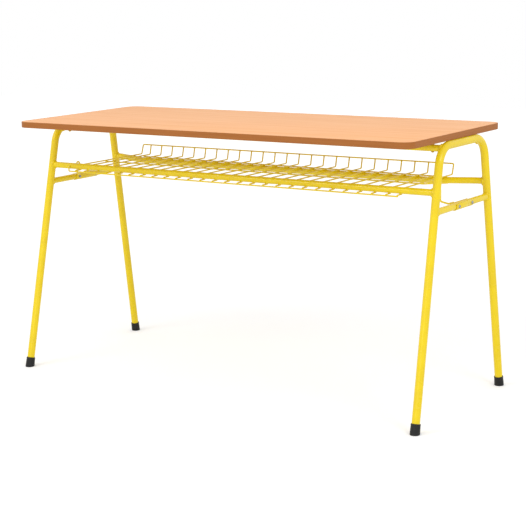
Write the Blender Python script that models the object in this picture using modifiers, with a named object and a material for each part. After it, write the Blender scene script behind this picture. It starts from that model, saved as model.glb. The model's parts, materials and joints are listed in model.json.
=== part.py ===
"""School desk for two: a laminated top on a welded tube frame with a wire book basket.

Metres, +Z up. The origin is on the floor under the middle of the top, X runs along the
front edge and +Y points to the back. Each piece is one named object.
"""
import math

import bmesh
import bpy
from mathutils import Matrix, Vector

# Gaps and overruns
SEAT_GAP = 0.0003  # between two pieces that touch on the real desk
CUT_OVERRUN = 0.004  # how far a cutter runs past the piece that it cuts
MERGE_DISTANCE = 0.00001  # points of one mesh that are closer than this become one

# Desk top
TOP_WIDTH = 1.300
TOP_DEPTH = 0.550
TOP_HEIGHT = 0.750
CORE_THICKNESS = 0.0154
LAMINATE_THICKNESS = 0.0006
BAND_THICKNESS = 0.0022
BAND_ARRIS_RADIUS = 0.0012
TOP_CORNER_RADIUS = 0.035

# Side frames: one bent tube each, seen from the side as a front leg, a top run and a back leg
LEG_RADIUS = 0.011
LEG_WALL = 0.0015
LEG_BEND_RADIUS = 0.060
RUN_INSET_X = 0.0022  # the top run's axis, in from the top's end
LEG_SPLAY_X = 0.0116  # how much further out the feet stand than the top run
FRONT_FOOT_INSET_Y = 0.0140  # the front foot's axis on the floor, in from the top's front edge
FRONT_CORNER_INSET_Y = 0.1739  # where the front leg's axis meets the top run's axis
BACK_FOOT_INSET_Y = 0.0148
BACK_CORNER_INSET_Y = 0.1166

# Rails and crossbars
RAIL_RADIUS = 0.009
RAIL_WALL = 0.0015
FRONT_RAIL_DROP = 0.144  # the front rail's axis below the top's upper face
BACK_RAIL_DROP = 0.008  # the back rail's axis below the front rail's
CROSSBAR_DROP = 0.042  # the crossbars' axes below the back rail's
BACK_RAIL_JOG_DEPTH = 0.049  # how far the back rail's middle runs in front of its ends
BACK_RAIL_END_FLAT = 0.029  # straight length from the leg's axis to the jog
BACK_RAIL_JOG_RUN = 0.117  # length of the jog along X
BACK_RAIL_BEND_RADIUS = 0.060
UPPER_RAIL_DROP = 0.0065  # the upper rails' axis below the top run's axis

# Book basket of welded wire
WIRE_RADIUS = 0.002
WELD_SINK = 0.0008  # how deep two crossing wires are pressed into each other
BASKET_WIRE_COUNT = 25  # the wires between the two end wires
BASKET_END_CLEARANCE = 0.1048  # from the leg's axis to the basket's end wire
BASKET_END_PITCH = 0.0334  # from the end wire to its neighbour
BASKET_FRONT_REACH = 0.015  # the front wire, in front of the front rail's axis
BASKET_DIP_START = 0.009  # where the floor wires start to rise, behind the front rail's axis
BASKET_DIP_RUN = 0.010  # length of that rise along Y
BASKET_BACK_REACH = 0.053  # the foot of the back wall, behind the back rail's middle
BASKET_WALL_RISE = 0.0290  # height of the back wall over the basket's floor
BASKET_WALL_LEAN = 0.007
BASKET_BEND_RADIUS = 0.0045
REAR_CROSS_WIRE_REACH = 0.023  # behind the back rail's middle
MIDDLE_CROSS_WIRE_REACH = 0.125  # in front of the back rail's middle
MIDDLE_WIRE_TAIL_X = 0.050  # its right end, past the end wire
MIDDLE_WIRE_TAIL_Y = 0.045  # how far that end bends to the back
FRONT_WIRE_TAIL_X = 0.028  # the front wire's left end, past the end wire
FRONT_WIRE_TAIL_RISE = 0.013  # how far it turns up, above the floor wires' front ends

# Hook clamps on the crossbars
CLAMP_SHEET = 0.0015
CLAMP_ARM_RISE = 0.008  # how far the arms stand above the crossbar's axis
CLAMP_BOLT_SPACING = 0.078
CLAMP_END_MARGIN = 0.013  # from a bolt's axis to the clamp's end
CLAMP_FRONT_BOLT_Y = -0.015
BOLT_RADIUS = 0.002
BOLT_HEAD_RADIUS = 0.0045
BOLT_HEAD_HEIGHT = 0.003
BOLT_TAIL = 0.0015  # how far the bolt stands out of its nut
NUT_WIDTH = 0.007  # across the flats
NUT_HEIGHT = 0.0032

# Bag hooks of bent wire
HOOK_RADIUS = 0.0025
HOOK_WELD_LENGTH = 0.014  # the straight stretch along the clamp
HOOK_RISE_ABOVE_NUT = 0.0005
HOOK_DIP_REACH_Y = 0.010  # from the front bolt's axis to the wire's lowest point
HOOK_DIP_REACH_X = 0.003
HOOK_DIP_DROP = 0.0005
HOOK_REACH_Y = 0.032  # from the front bolt's axis to the hook's upright
HOOK_REACH_X = 0.0155  # from the straight stretch in to the upright
HOOK_FOOT_RISE = 0.008
HOOK_UPRIGHT_HEIGHT = 0.030
HOOK_TIP_RADIUS = 0.0055
HOOK_TIP_DROP = 0.004
HOOK_BEND_RADIUS = 0.008

# Foot caps
CAP_FLOOR = 0.0045  # plastic under the tube's end, measured along the leg
CAP_HEIGHT = 0.0275
CAP_TOP_WALL = 0.0018
CAP_FOOT_WALL = 0.0025
CAP_EDGE_RADIUS = 0.0012

# Screws that hold the top down, and the sleeves that they pass through above the rails
SCREW_RADIUS = 0.002
SCREW_HEAD_RADIUS = 0.0045
SCREW_HEAD_HEIGHT = 0.0026
SCREW_BITE = 0.011  # depth of the screw in the board's core
SCREW_TIP_LENGTH = 0.003
RAIL_SCREW_INSET = 0.033  # from the side frame's axis
SPACER_WALL = 0.0025

# Counts that set how smooth the round shapes are
LEG_SIDES = 16
RAIL_SIDES = 12
WIRE_SIDES = 6
HOOK_SIDES = 8
NUT_SIDES = 6
TURNED_STEPS = 16
CORNER_STEPS = 7
LEG_BEND_STEPS = 10
WIRE_BEND_STEPS = 2
RAIL_BEND_STEPS = 4
TIP_STEPS = 6
EDGE_STEPS = 2

# Shares of a piece's own size, and the angle and share that pick out edges
BOLT_DOME_SHARES = ((0, 1), (0.5, 0.9), (0.85, 0.6), (1, 0))  # of the head's radius and height
SCREW_HEAD_SHARES = ((1, 0), (0.8, 0.7), (0.5, 1), (0, 1))
ROUND_PROFILE_SHARE = 0.5  # a bevel with a round profile
FLAT_NORMAL_SHARE = 0.9  # upright share of a normal from which a face counts as flat
SHARP_ANGLE = math.radians(40)

# Places that follow from the sizes above
TOP_THICKNESS = CORE_THICKNESS + 2 * (LAMINATE_THICKNESS + SEAT_GAP)
TOP_UNDERSIDE = TOP_HEIGHT - TOP_THICKNESS
CORE_UNDERSIDE = TOP_UNDERSIDE + LAMINATE_THICKNESS + SEAT_GAP
RUN_HEIGHT = TOP_UNDERSIDE - SEAT_GAP - LEG_RADIUS
FRONT_RAIL_HEIGHT = TOP_HEIGHT - FRONT_RAIL_DROP
BACK_RAIL_HEIGHT = FRONT_RAIL_HEIGHT - BACK_RAIL_DROP
CROSSBAR_HEIGHT = BACK_RAIL_HEIGHT - CROSSBAR_DROP
RUN_X = TOP_WIDTH / 2 - RUN_INSET_X
FRONT_CORNER = Vector((RUN_X, FRONT_CORNER_INSET_Y - TOP_DEPTH / 2, RUN_HEIGHT))
BACK_CORNER = Vector((RUN_X, TOP_DEPTH / 2 - BACK_CORNER_INSET_Y, RUN_HEIGHT))
FRONT_FOOT = Vector((RUN_X + LEG_SPLAY_X, FRONT_FOOT_INSET_Y - TOP_DEPTH / 2, 0))
BACK_FOOT = Vector((RUN_X + LEG_SPLAY_X, TOP_DEPTH / 2 - BACK_FOOT_INSET_Y, 0))
FRONT_LEG_AXIS = (FRONT_CORNER - FRONT_FOOT).normalized()
BACK_LEG_AXIS = (BACK_CORNER - BACK_FOOT).normalized()

PARTS = None
CUTTERS = None


def reset_scene():
    """Remove the scene's objects and make the two collections."""
    global PARTS, CUTTERS
    for obj in list(bpy.data.objects):
        bpy.data.objects.remove(obj, do_unlink=True)
    PARTS = bpy.data.collections.new("school_desk")
    CUTTERS = bpy.data.collections.new("cutters")
    for collection in (PARTS, CUTTERS):
        bpy.context.scene.collection.children.link(collection)


def material(name, colour, roughness, metallic=0.0):
    """A plain Principled BSDF material."""
    made = bpy.data.materials.get(name)
    if made is None:
        made = bpy.data.materials.new(name)
        made.use_nodes = True
        shader = made.node_tree.nodes["Principled BSDF"]
        shader.inputs["Base Color"].default_value = (*colour, 1.0)
        shader.inputs["Roughness"].default_value = roughness
        shader.inputs["Metallic"].default_value = metallic
    return made


def top_laminate_material():
    return material("beech_laminate", (0.94, 0.55, 0.31), 0.45)


def backing_material():
    return material("backing_laminate", (0.72, 0.60, 0.46), 0.6)


def chipboard_material():
    return material("chipboard", (0.50, 0.34, 0.20), 0.9)


def band_material():
    return material("brown_edge_band", (0.48, 0.17, 0.05), 0.5)


def paint_material():
    return material("yellow_paint", (0.92, 0.66, 0.04), 0.35)


def cap_material():
    return material("black_plastic", (0.02, 0.02, 0.02), 0.5)


def zinc_material():
    return material("zinc_plated_steel", (0.66, 0.68, 0.72), 0.3, 1.0)


def object_from_bmesh(name, bm, finish=None):
    """Turn a bmesh into a part, or into a cutter where no finish is given."""
    mesh = bpy.data.meshes.new(name)
    bmesh.ops.recalc_face_normals(bm, faces=bm.faces)
    bm.to_mesh(mesh)
    bm.free()
    return object_from_mesh(name, mesh, finish)


def object_from_mesh(name, mesh, finish=None):
    """Link a mesh as a part, or as a cutter where no finish is given."""
    obj = bpy.data.objects.new(name, mesh)
    if finish is None:
        CUTTERS.objects.link(obj)
        obj.hide_render = True
        obj.display_type = "WIRE"
    else:
        PARTS.objects.link(obj)
        mesh.materials.append(finish)
    return obj


def shade_round(obj):
    """Smooth shading with sharp edges kept at the ends and rims."""
    obj.data.shade_smooth()
    obj.data.set_sharp_from_angle(angle=SHARP_ANGLE)


def baked(source, name, finish=None):
    """Make a mesh object from a curve or a modified object, then remove the source."""
    graph = bpy.context.evaluated_depsgraph_get()
    mesh = bpy.data.meshes.new_from_object(source.evaluated_get(graph))
    mesh.transform(source.matrix_world)
    bm = bmesh.new()
    bm.from_mesh(mesh)
    bmesh.ops.remove_doubles(bm, verts=bm.verts, dist=MERGE_DISTANCE)
    bmesh.ops.recalc_face_normals(bm, faces=bm.faces)
    bm.to_mesh(mesh)
    bm.free()
    mesh.materials.clear()
    bpy.data.objects.remove(source, do_unlink=True)
    return object_from_mesh(name, mesh, finish)


def rounded_path(corners, radius, steps, closed=False):
    """Points along straight runs, with each inner corner turned into an arc."""
    count = len(corners)
    points = []
    for index, corner in enumerate(corners):
        if not closed and index in (0, count - 1):
            points.append(corner.copy())
            continue
        before = (corners[index - 1] - corner).normalized()
        after = (corners[(index + 1) % count] - corner).normalized()
        half_angle = before.angle(after) / 2
        centre = corner + (before + after).normalized() * (radius / math.sin(half_angle))
        start = corner + before * (radius / math.tan(half_angle)) - centre
        axis = start.cross(centre - corner).normalized()
        sweep = math.pi - 2 * half_angle
        for step in range(steps + 1):
            turn = Matrix.Rotation(-sweep * step / steps, 3, axis)
            points.append(centre + turn @ start)
    return points


def tube(name, path, radius, sides, finish=None):
    """A solid round bar along a path, made from a curve with a bevel and filled caps."""
    curve = bpy.data.curves.new(name, "CURVE")
    curve.dimensions = "3D"
    curve.bevel_depth = radius
    curve.bevel_resolution = (sides - 4) // 2
    curve.use_fill_caps = True
    spline = curve.splines.new("POLY")
    spline.points.add(len(path) - 1)
    for point, place in zip(spline.points, path):
        point.co = (*place, 1.0)
    source = bpy.data.objects.new(name + "_curve", curve)
    PARTS.objects.link(source)
    made = baked(source, name, finish)
    shade_round(made)
    return made


def stretched(path, length):
    """The same path with both ends moved outwards by a length."""
    first = path[0] + (path[0] - path[1]).normalized() * length
    last = path[-1] + (path[-1] - path[-2]).normalized() * length
    return [first, *path[1:-1], last]


def combine(target, other, operation):
    """Apply an exact Boolean to a target and remove the other object."""
    modifier = target.modifiers.new(operation.lower(), "BOOLEAN")
    modifier.operation = operation
    modifier.solver = "EXACT"
    modifier.object = other
    graph = bpy.context.evaluated_depsgraph_get()
    mesh = bpy.data.meshes.new_from_object(target.evaluated_get(graph))
    target.modifiers.remove(modifier)
    old = target.data
    target.data = mesh
    bpy.data.meshes.remove(old)
    bpy.data.objects.remove(other, do_unlink=True)


def cut(target, cutter):
    combine(target, cutter, "DIFFERENCE")


def bored_tube(name, path, radius, wall, sides, finish):
    """A tube with its bore open at both ends."""
    made = tube(name, path, radius, sides, finish)
    cut(made, tube("bore", stretched(path, CUT_OVERRUN), radius - wall, sides))
    return made


def aligned(origin, direction):
    """A matrix that puts local +Z along a direction, with its origin at a point."""
    turn = direction.to_track_quat("Z", "Y").to_matrix().to_4x4()
    return Matrix.Translation(origin) @ turn


def rod_cutter(start, end, radius):
    """A round cutter between two points."""
    bm = bmesh.new()
    bmesh.ops.create_cone(
        bm,
        cap_ends=True,
        segments=TURNED_STEPS,
        radius1=radius,
        radius2=radius,
        depth=(end - start).length,
        matrix=aligned((start + end) / 2, end - start),
    )
    return object_from_bmesh("hole", bm)


def turned(name, profile, origin, direction, finish):
    """A turned piece: a profile of (radius, height), top to bottom, with a Screw modifier."""
    bm = bmesh.new()
    verts = [bm.verts.new((radius, 0, height)) for radius, height in profile]
    for first, second in zip(verts, verts[1:]):
        bm.edges.new((first, second))
    mesh = bpy.data.meshes.new(name)
    bm.to_mesh(mesh)
    bm.free()
    source = bpy.data.objects.new(name + "_profile", mesh)
    PARTS.objects.link(source)
    screw = source.modifiers.new("turn", "SCREW")
    screw.steps = TURNED_STEPS
    screw.render_steps = TURNED_STEPS
    screw.use_merge_vertices = True
    screw.merge_threshold = MERGE_DISTANCE
    source.matrix_world = aligned(origin, direction)
    bpy.context.view_layer.update()
    made = baked(source, name, finish)
    shade_round(made)
    return made


def mirrored_x(places):
    """The same places on the other side of the desk."""
    return [Vector((-place.x, place.y, place.z)) for place in places]


def leg_point(foot, corner, height):
    """Where a leg's axis is at a height, on the right side."""
    return foot.lerp(corner, height / corner.z)


def on_side(side, place):
    return Vector((side * place.x, place.y, place.z))


def side_frame_path(side):
    """The bent tube's axis from the front foot over the top run to the back foot."""
    front_end = FRONT_FOOT + FRONT_LEG_AXIS * tube_start(FRONT_LEG_AXIS)
    back_end = BACK_FOOT + BACK_LEG_AXIS * tube_start(BACK_LEG_AXIS)
    corners = [front_end, FRONT_CORNER, BACK_CORNER, back_end]
    path = rounded_path(corners, LEG_BEND_RADIUS, LEG_BEND_STEPS)
    return path if side > 0 else mirrored_x(path)


def tube_start(axis):
    """Length along a leg's axis from the floor to the tube's end, over the cap's floor."""
    lean = math.sqrt(1 - axis.z ** 2)
    return (CAP_FLOOR + LEG_RADIUS * lean) / axis.z


def side_frame_cutter(side):
    """The side frame's outer shape, grown by the seat gap."""
    path = stretched(side_frame_path(side), SEAT_GAP)
    return tube("side_frame_cutter", path, LEG_RADIUS + SEAT_GAP, LEG_SIDES)


def bend_tangent(corner, foot, other):
    """Length from a corner of the side frame to the end of its bend."""
    half_angle = (foot - corner).angle(other - corner) / 2
    return LEG_BEND_RADIUS / math.tan(half_angle)


def front_run_end():
    """Y where the top run becomes straight behind the front bend."""
    return FRONT_CORNER.y + bend_tangent(FRONT_CORNER, FRONT_FOOT, BACK_CORNER)


def back_run_end():
    """Y where the top run stops being straight before the back bend."""
    return BACK_CORNER.y - bend_tangent(BACK_CORNER, BACK_FOOT, FRONT_CORNER)


def upper_rail_places():
    """Y of the two upper rails, whose axes meet the axes of the bends."""
    drop = LEG_BEND_RADIUS - UPPER_RAIL_DROP
    reach = math.sqrt(LEG_BEND_RADIUS ** 2 - drop ** 2)
    return front_run_end() - reach, back_run_end() + reach


def upper_rail_height():
    return RUN_HEIGHT - UPPER_RAIL_DROP


def rail_screw_x():
    return RUN_X - RAIL_SCREW_INSET


def top_screw_places():
    """Every screw that holds the top: where it stands, as side, row, X and Y."""
    return [
        (side_name, row_name, side * rail_screw_x(), y)
        for side_name, side in (("left", -1), ("right", 1))
        for row_name, y in zip(("front", "back"), upper_rail_places())
    ]


def slab_outline(inset):
    """The top's outline with round corners, moved inwards by an inset."""
    half_x = TOP_WIDTH / 2 - inset
    half_y = TOP_DEPTH / 2 - inset
    corners = [
        Vector((half_x, half_y, 0)),
        Vector((-half_x, half_y, 0)),
        Vector((-half_x, -half_y, 0)),
        Vector((half_x, -half_y, 0)),
    ]
    return rounded_path(corners, TOP_CORNER_RADIUS - inset, CORNER_STEPS, closed=True)


def slab(name, outlines, bottom, thickness, finish):
    """A flat sheet from closed outlines, the second of which is a hole in the first."""
    curve = bpy.data.curves.new(name, "CURVE")
    curve.dimensions = "2D"
    curve.fill_mode = "BOTH"
    curve.extrude = thickness / 2
    for outline in outlines:
        spline = curve.splines.new("POLY")
        spline.points.add(len(outline) - 1)
        for point, place in zip(spline.points, outline):
            point.co = (*place, 1.0)
        spline.use_cyclic_u = True
    source = bpy.data.objects.new(name + "_curve", curve)
    source.location.z = bottom + thickness / 2
    PARTS.objects.link(source)
    bpy.context.view_layer.update()
    return baked(source, name, finish)


def drill_screw_holes(target, bottom, top):
    """Cut the screws' clearance holes between two heights."""
    for _side_name, _row_name, x, y in top_screw_places():
        cut(target, rod_cutter(Vector((x, y, bottom)), Vector((x, y, top)), SCREW_RADIUS + SEAT_GAP))


def make_top():
    """Chipboard core, laminate above and below, and the edge band round them."""
    sheet = [slab_outline(BAND_THICKNESS + SEAT_GAP)]
    core = slab("board_core", sheet, CORE_UNDERSIDE, CORE_THICKNESS, chipboard_material())
    drill_screw_holes(core, CORE_UNDERSIDE - CUT_OVERRUN, CORE_UNDERSIDE + SCREW_BITE + SEAT_GAP)
    surface_z = TOP_HEIGHT - LAMINATE_THICKNESS
    slab("top_laminate", sheet, surface_z, LAMINATE_THICKNESS, top_laminate_material())
    backing = slab("backing_laminate", sheet, TOP_UNDERSIDE, LAMINATE_THICKNESS, backing_material())
    drill_screw_holes(backing, TOP_UNDERSIDE - CUT_OVERRUN, CORE_UNDERSIDE)
    outlines = [slab_outline(0), slab_outline(BAND_THICKNESS)]
    band = slab("edge_band", outlines, TOP_UNDERSIDE, TOP_THICKNESS, band_material())
    round_outer_arris(band)


def round_outer_arris(band):
    """Round the band's outer edges above and below."""
    bm = bmesh.new()
    bm.from_mesh(band.data)
    bm.normal_update()
    soften(bm, [edge for edge in bm.edges if is_outer_arris(edge)], BAND_ARRIS_RADIUS)
    bm.to_mesh(band.data)
    bm.free()
    shade_round(band)


def soften(bm, edges, radius):
    """Round some edges of a bmesh."""
    bmesh.ops.bevel(
        bm,
        geom=edges,
        offset=radius,
        segments=EDGE_STEPS,
        profile=ROUND_PROFILE_SHARE,
        affect="EDGES",
    )


def is_outer_arris(edge):
    """True for an edge between a flat face and the band's outer wall."""
    walls = [face for face in edge.link_faces if abs(face.normal.z) < FLAT_NORMAL_SHARE]
    if len(walls) != 1:
        return False
    middle = (edge.verts[0].co + edge.verts[1].co) / 2
    return walls[0].normal.x * middle.x + walls[0].normal.y * middle.y > 0


def make_side_frame(side_name, side):
    """One bent tube with its ends open."""
    path = side_frame_path(side)
    frame = bored_tube(f"side_frame_{side_name}", path, LEG_RADIUS, LEG_WALL, LEG_SIDES, paint_material())
    shade_round(frame)


def make_rail(name, path):
    """A thin tube whose ends are shaped to fit against the side frames."""
    rail = bored_tube(name, path, RAIL_RADIUS, RAIL_WALL, RAIL_SIDES, paint_material())
    for side in (-1, 1):
        cut(rail, side_frame_cutter(side))
    shade_round(rail)
    return rail


def make_lower_rails():
    """The straight front rail and the back rail with its two jogs."""
    front = leg_point(FRONT_FOOT, FRONT_CORNER, FRONT_RAIL_HEIGHT)
    make_rail("front_rail", [on_side(-1, front), front])
    back = leg_point(BACK_FOOT, BACK_CORNER, BACK_RAIL_HEIGHT)
    outer = back - Vector((BACK_RAIL_END_FLAT, 0, 0))
    inner = outer - Vector((BACK_RAIL_JOG_RUN, BACK_RAIL_JOG_DEPTH, 0))
    half = [back, outer, inner]
    corners = mirrored_x(half) + half[::-1]
    make_rail("back_rail", rounded_path(corners, BACK_RAIL_BEND_RADIUS, RAIL_BEND_STEPS))


def make_upper_rails():
    """The two rails under the top, each with two screw holes."""
    height = upper_rail_height()
    reach = RAIL_RADIUS + CUT_OVERRUN
    for row_name, y in zip(("front", "back"), upper_rail_places()):
        path = [Vector((-RUN_X, y, height)), Vector((RUN_X, y, height))]
        rail = make_rail(f"upper_rail_{row_name}", path)
        for side in (-1, 1):
            x = side * rail_screw_x()
            low = Vector((x, y, height - reach))
            high = Vector((x, y, height + reach))
            cut(rail, rod_cutter(low, high, SCREW_RADIUS + SEAT_GAP))
        shade_round(rail)


def bolt_places():
    """Y of the two clamp bolts."""
    return CLAMP_FRONT_BOLT_Y, CLAMP_FRONT_BOLT_Y + CLAMP_BOLT_SPACING


def crossbar_x():
    return leg_point(FRONT_FOOT, FRONT_CORNER, CROSSBAR_HEIGHT).x


def drill_bolt_holes(target, side, reach):
    """Cut the clamp bolts' clearance holes through a piece."""
    for y in bolt_places():
        inner = Vector((side * crossbar_x() - reach, y, CROSSBAR_HEIGHT))
        outer = Vector((side * crossbar_x() + reach, y, CROSSBAR_HEIGHT))
        cut(target, rod_cutter(inner, outer, BOLT_RADIUS + SEAT_GAP))


def make_crossbar(side_name, side):
    """The tube between the front leg and the back leg, with two bolt holes."""
    front = on_side(side, leg_point(FRONT_FOOT, FRONT_CORNER, CROSSBAR_HEIGHT))
    back = on_side(side, leg_point(BACK_FOOT, BACK_CORNER, CROSSBAR_HEIGHT))
    name = f"crossbar_{side_name}"
    bar = bored_tube(name, [front, back], RAIL_RADIUS, RAIL_WALL, RAIL_SIDES, paint_material())
    cut(bar, side_frame_cutter(side))
    drill_bolt_holes(bar, side, RAIL_RADIUS + CUT_OVERRUN)
    shade_round(bar)


def clamp_outline(radius):
    """Half circle under the crossbar with straight arms above, as (x, z) from its axis."""
    turn = [math.pi * (1 + step / CORNER_STEPS) for step in range(CORNER_STEPS + 1)]
    arc = [(radius * math.cos(angle), radius * math.sin(angle)) for angle in turn]
    return [(-radius, CLAMP_ARM_RISE), *arc, (radius, CLAMP_ARM_RISE)]


def make_clamp(side_name, side):
    """A sheet bent into a U round the crossbar from below."""
    inner = RAIL_RADIUS + SEAT_GAP
    section = clamp_outline(inner) + clamp_outline(inner + CLAMP_SHEET)[::-1]
    front = CLAMP_FRONT_BOLT_Y - CLAMP_END_MARGIN
    back = CLAMP_FRONT_BOLT_Y + CLAMP_BOLT_SPACING + CLAMP_END_MARGIN
    curve_outline = [Vector((x, z, 0)) for x, z in section]
    name = f"hook_clamp_{side_name}"
    clamp = slab(name, [curve_outline], -(back - front) / 2, back - front, paint_material())
    stand_up = Matrix.Rotation(math.pi / 2, 4, "X")
    place = Matrix.Translation((side * crossbar_x(), (front + back) / 2, CROSSBAR_HEIGHT))
    clamp.data.transform(place @ stand_up)
    drill_bolt_holes(clamp, side, inner + CLAMP_SHEET + CUT_OVERRUN)
    shade_round(clamp)


def clamp_face():
    """Distance from the crossbar's axis to the outside of the clamp's arm."""
    return RAIL_RADIUS + SEAT_GAP + CLAMP_SHEET


def make_bolts(side_name, side):
    """Two bolts through clamp and crossbar, heads on the outside and nuts on the inside."""
    seat = clamp_face() + SEAT_GAP
    tail = -(seat + NUT_HEIGHT + BOLT_TAIL)
    dome = [
        (BOLT_HEAD_RADIUS * across, seat + BOLT_HEAD_HEIGHT * up)
        for across, up in BOLT_DOME_SHARES
    ]
    profile = [*dome, (BOLT_RADIUS, seat), (BOLT_RADIUS, tail), (0, tail)]
    for row_name, y in zip(("front", "back"), bolt_places()):
        axis_point = Vector((side * crossbar_x(), y, CROSSBAR_HEIGHT))
        outwards = Vector((side, 0, 0))
        turned(f"clamp_bolt_{side_name}_{row_name}", profile, axis_point, outwards, zinc_material())
        make_nut(f"clamp_nut_{side_name}_{row_name}", axis_point, outwards, seat)


def make_nut(name, axis_point, outwards, seat):
    """A hexagon nut on the inner end of a bolt."""
    middle = axis_point - outwards * (seat + NUT_HEIGHT / 2)
    corner_radius = NUT_WIDTH / 2 / math.cos(math.pi / NUT_SIDES)
    bm = bmesh.new()
    bmesh.ops.create_cone(
        bm,
        cap_ends=True,
        segments=NUT_SIDES,
        radius1=corner_radius,
        radius2=corner_radius,
        depth=NUT_HEIGHT,
        matrix=aligned(middle, outwards),
    )
    nut = object_from_bmesh(name, bm, zinc_material())
    reach = outwards * (NUT_HEIGHT / 2 + CUT_OVERRUN)
    cut(nut, rod_cutter(middle - reach, middle + reach, BOLT_RADIUS + SEAT_GAP))


def hook_path(side):
    """The hook's wire: along the clamp, in to the upright, up and over the tip."""
    x = crossbar_x() - clamp_face() - SEAT_GAP - HOOK_RADIUS
    nut_corner = NUT_WIDTH / 2 / math.cos(math.pi / NUT_SIDES)
    z = CROSSBAR_HEIGHT + nut_corner + HOOK_RISE_ABOVE_NUT + HOOK_RADIUS
    y = CLAMP_FRONT_BOLT_Y
    upright = Vector((x - HOOK_REACH_X, y - HOOK_REACH_Y, z + HOOK_FOOT_RISE))
    top = upright + Vector((0, 0, HOOK_UPRIGHT_HEIGHT))
    corners = [
        Vector((x, y + HOOK_WELD_LENGTH, z)),
        Vector((x, y, z)),
        Vector((x - HOOK_DIP_REACH_X, y - HOOK_DIP_REACH_Y, z - HOOK_DIP_DROP)),
        upright,
        top,
    ]
    path = rounded_path(corners, HOOK_BEND_RADIUS, WIRE_BEND_STEPS)
    centre = top - Vector((HOOK_TIP_RADIUS, 0, 0))
    for step in range(1, TIP_STEPS + 1):
        angle = math.pi * step / TIP_STEPS
        offset = Vector((math.cos(angle), 0, math.sin(angle))) * HOOK_TIP_RADIUS
        path.append(centre + offset)
    path.append(path[-1] - Vector((0, 0, HOOK_TIP_DROP)))
    return path if side > 0 else mirrored_x(path)


def basket_levels():
    """Y and Z of the basket's section, worked out from the two rails."""
    front = leg_point(FRONT_FOOT, FRONT_CORNER, FRONT_RAIL_HEIGHT)
    back = leg_point(BACK_FOOT, BACK_CORNER, BACK_RAIL_HEIGHT)
    seat = RAIL_RADIUS + SEAT_GAP + WIRE_RADIUS
    middle_y = back.y - BACK_RAIL_JOG_DEPTH
    return front.y, FRONT_RAIL_HEIGHT - seat, middle_y, BACK_RAIL_HEIGHT + seat


def weld_step():
    """Distance between the axes of two crossing wires of one node."""
    return 2 * WIRE_RADIUS - WELD_SINK


def seat_step():
    """Distance between the axes of two crossing wires of two nodes."""
    return 2 * WIRE_RADIUS + SEAT_GAP


def basket_half_width():
    return leg_point(FRONT_FOOT, FRONT_CORNER, FRONT_RAIL_HEIGHT).x - BASKET_END_CLEARANCE


def floor_wire_path(x, top_y_shift=0.0):
    """One wire from the front edge under the front rail, over the back rail and up the back."""
    front_y, front_z, middle_y, floor_z = basket_levels()
    foot_y = middle_y + BASKET_BACK_REACH
    corners = [
        Vector((x, front_y - BASKET_FRONT_REACH - WIRE_RADIUS, front_z)),
        Vector((x, front_y + BASKET_DIP_START, front_z)),
        Vector((x, front_y + BASKET_DIP_START + BASKET_DIP_RUN, floor_z)),
        Vector((x, foot_y, floor_z)),
        Vector((x, foot_y + BASKET_WALL_LEAN + top_y_shift, floor_z + BASKET_WALL_RISE)),
    ]
    return rounded_path(corners, BASKET_BEND_RADIUS, WIRE_BEND_STEPS)


def wire_halves(path):
    """A wire's path in two, parted just before it bends up: the floor and the back wall."""
    bend = len(path) - WIRE_BEND_STEPS - 2
    start = path[bend] - Vector((0, WIRE_RADIUS, 0))
    end = start - Vector((0, SEAT_GAP, 0))
    return [*path[:bend], end], [start, *path[bend:]]


def inner_wire_places():
    """X of each wire between the two end wires."""
    inner = basket_half_width() - BASKET_END_PITCH
    pitch = 2 * inner / (BASKET_WIRE_COUNT - 1)
    return [-inner + pitch * index for index in range(BASKET_WIRE_COUNT)]


def basket_rim_path():
    """The long wire on the back wall's top, with the upright at each of its ends."""
    half = basket_half_width()
    rising = wire_halves(floor_wire_path(-half, weld_step()))[1]
    falling = wire_halves(floor_wire_path(half, weld_step()))[1][::-1]
    across = rounded_path(
        [rising[-2], rising[-1], falling[0], falling[1]],
        BASKET_BEND_RADIUS,
        WIRE_BEND_STEPS,
    )
    return rising[:-1] + across[1:-1] + falling[1:]


def rear_wire_path():
    """The straight wire under the floor wires, behind the back rail."""
    _front_y, _front_z, middle_y, floor_z = basket_levels()
    end_x = basket_half_width() - BASKET_END_PITCH + WIRE_RADIUS
    end = Vector((end_x, middle_y + REAR_CROSS_WIRE_REACH, floor_z - weld_step()))
    return [on_side(-1, end), end]


def middle_wire_path():
    """The long wire under the basket's middle, with its right end bent to the back."""
    _front_y, _front_z, middle_y, floor_z = basket_levels()
    bend_x = basket_half_width() + WIRE_RADIUS
    bend = Vector((bend_x, middle_y - MIDDLE_CROSS_WIRE_REACH, floor_z - seat_step()))
    tail = bend + Vector((MIDDLE_WIRE_TAIL_X, MIDDLE_WIRE_TAIL_Y, 0))
    return rounded_path([on_side(-1, bend), bend, tail], BASKET_BEND_RADIUS, WIRE_BEND_STEPS)


def front_wire_path():
    """The long wire along the front edge, with its left end turned up to the front rail."""
    front_y, front_z, _middle_y, _floor_z = basket_levels()
    end_x = basket_half_width() + WIRE_RADIUS
    end = Vector((end_x, front_y - BASKET_FRONT_REACH, front_z - seat_step()))
    rail_face = front_y - RAIL_RADIUS - SEAT_GAP - WIRE_RADIUS
    tail_x = -basket_half_width() - FRONT_WIRE_TAIL_X
    tail = Vector((tail_x, rail_face, front_z + FRONT_WIRE_TAIL_RISE))
    return rounded_path([tail, Vector((tail_x, end.y, end.z)), end], BASKET_BEND_RADIUS, WIRE_BEND_STEPS)


def joined(objects):
    """Put several meshes into the first object, as they lie."""
    target = objects[0]
    bm = bmesh.new()
    for obj in objects:
        bm.from_mesh(obj.data)
    bm.to_mesh(target.data)
    bm.free()
    for obj in objects[1:]:
        bpy.data.objects.remove(obj, do_unlink=True)
    return target


def wire(name, path):
    return tube(name, path, WIRE_RADIUS, WIRE_SIDES, paint_material())


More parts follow.
